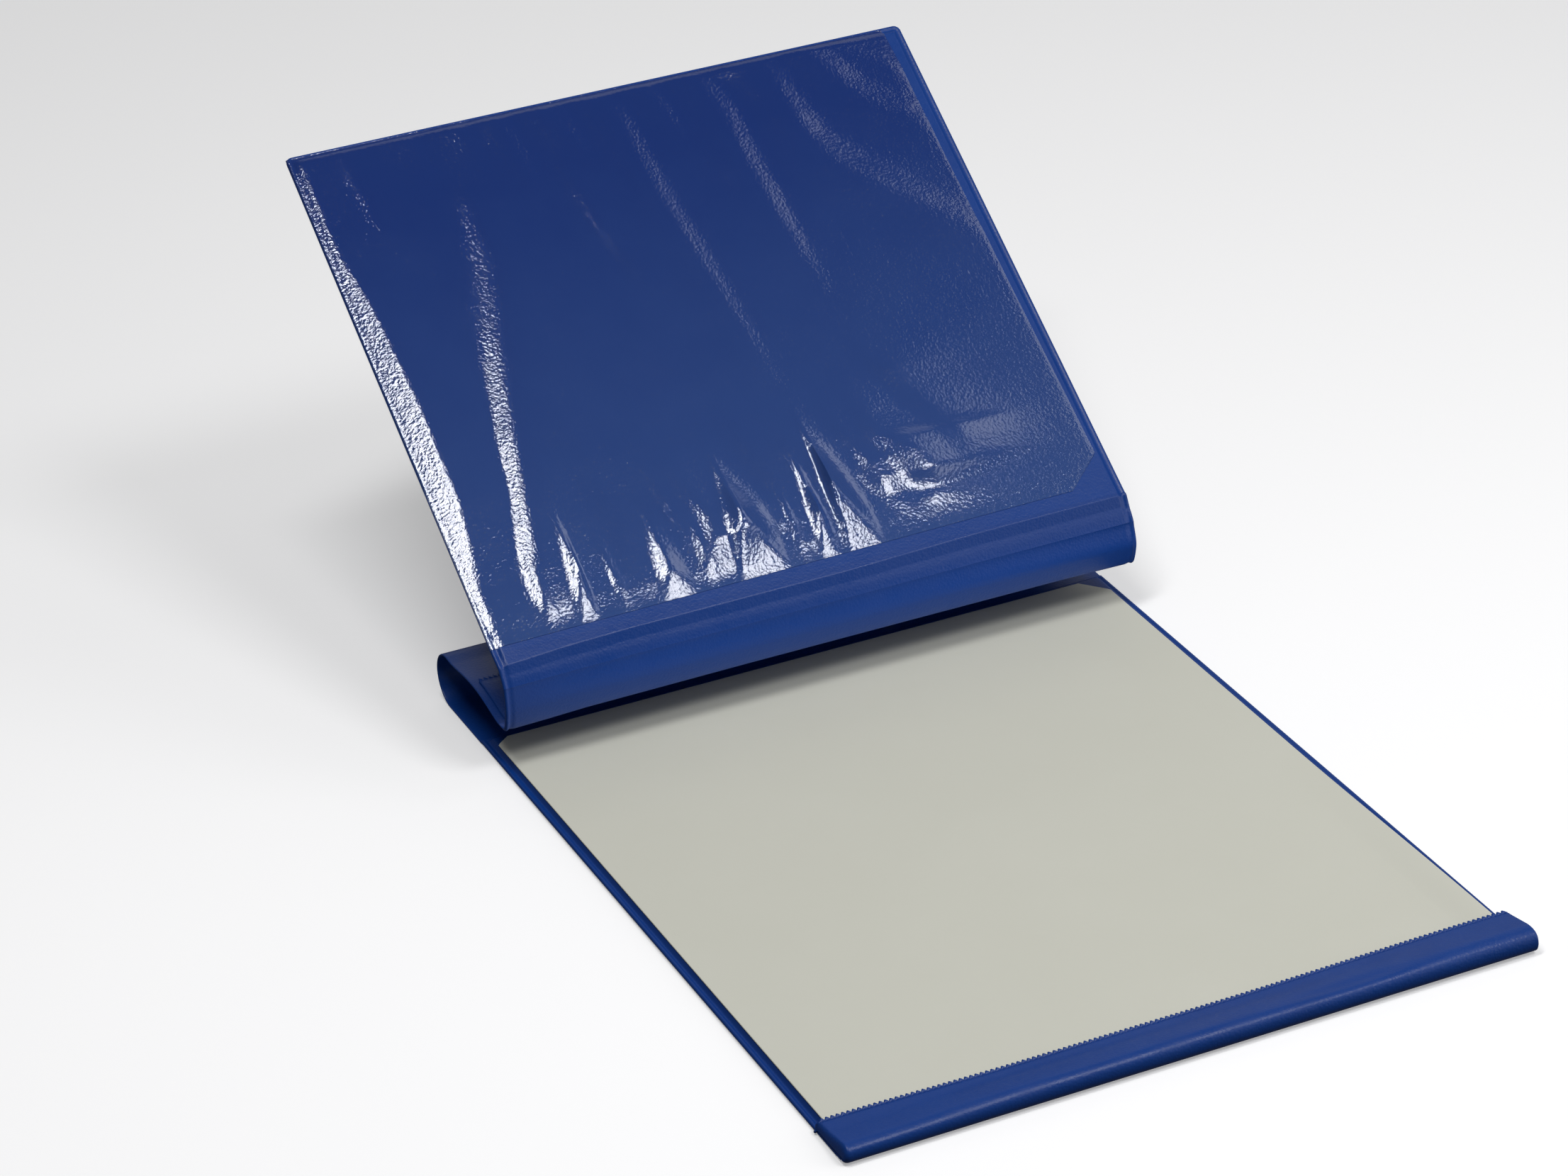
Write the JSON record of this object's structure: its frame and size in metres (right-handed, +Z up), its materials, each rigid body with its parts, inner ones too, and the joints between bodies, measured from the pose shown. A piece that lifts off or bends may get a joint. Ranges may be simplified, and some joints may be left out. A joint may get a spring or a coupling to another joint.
{
  "type": "snap button folder",
  "caption": "Open vinyl document folder: a flat panel with a card under a front flap, a rolled back, a snap-down gusset and a hinged cover with a clear pocket.",
  "frame": {"origin": "centre of the flat underside, midway between the front roll and the back loop", "axes": "+X along the spine to the right of someone at the front, +Y from the front edge to the rolled back, +Z up from the table"},
  "size_m": [0.24, 0.4395, 0.161],
  "materials": {
    "blue_vinyl": "soft royal blue vinyl with a fine leather grain and a satin sheen",
    "clear_film": "clear glossy soft film, finely grained and slightly creased",
    "white_card": "smooth matt white card",
    "grey_board": "plain grey bookbinding board, sealed inside",
    "nickel": "polished nickel plate"
  },
  "bodies": {
    "base": {"base_outer_skin": "blue_vinyl", "base_core_board": "grey_board", "base_inner_skin": "blue_vinyl", "front_flap": "blue_vinyl", "snap_studs": "nickel", "snap_eyelets": "nickel", "back_loop": "blue_vinyl"},
    "card": {"white_card": "white_card"},
    "gusset": {"gusset_panel": "blue_vinyl", "cover_tail_strip": "blue_vinyl", "snap_caps": "nickel", "snap_sockets": "nickel"},
    "spine": {"spine_front_skin": "blue_vinyl", "spine_back_skin": "blue_vinyl"},
    "cover": {"cover_front_skin": "blue_vinyl", "cover_core_board": "grey_board", "cover_back_skin": "blue_vinyl", "pocket_film": "clear_film"}
  },
  "joints": [
    {"name": "gusset_press", "type": "slide", "parent": "base", "child": "gusset", "axis": [0, 0, 1], "range_m": [-0.013, 0.006], "deforming": ["back_loop"]},
    {"name": "cover_fold", "type": "hinge", "parent": "gusset", "child": "spine", "pos_m": [0, 0.10345, 0.01762], "axis": [1, 0, 0], "range_deg": [-24, 64]},
    {"name": "cover_crease", "type": "hinge", "parent": "spine", "child": "cover", "pos_m": [0, 0.10595, 0.04099], "axis": [1, 0, 0], "range_deg": [-14, 84.6]},
    {"name": "card_slide", "type": "slide", "parent": "base", "child": "card", "axis": [1, 0, 0], "range_m": [0, 0.24]}
  ]
}
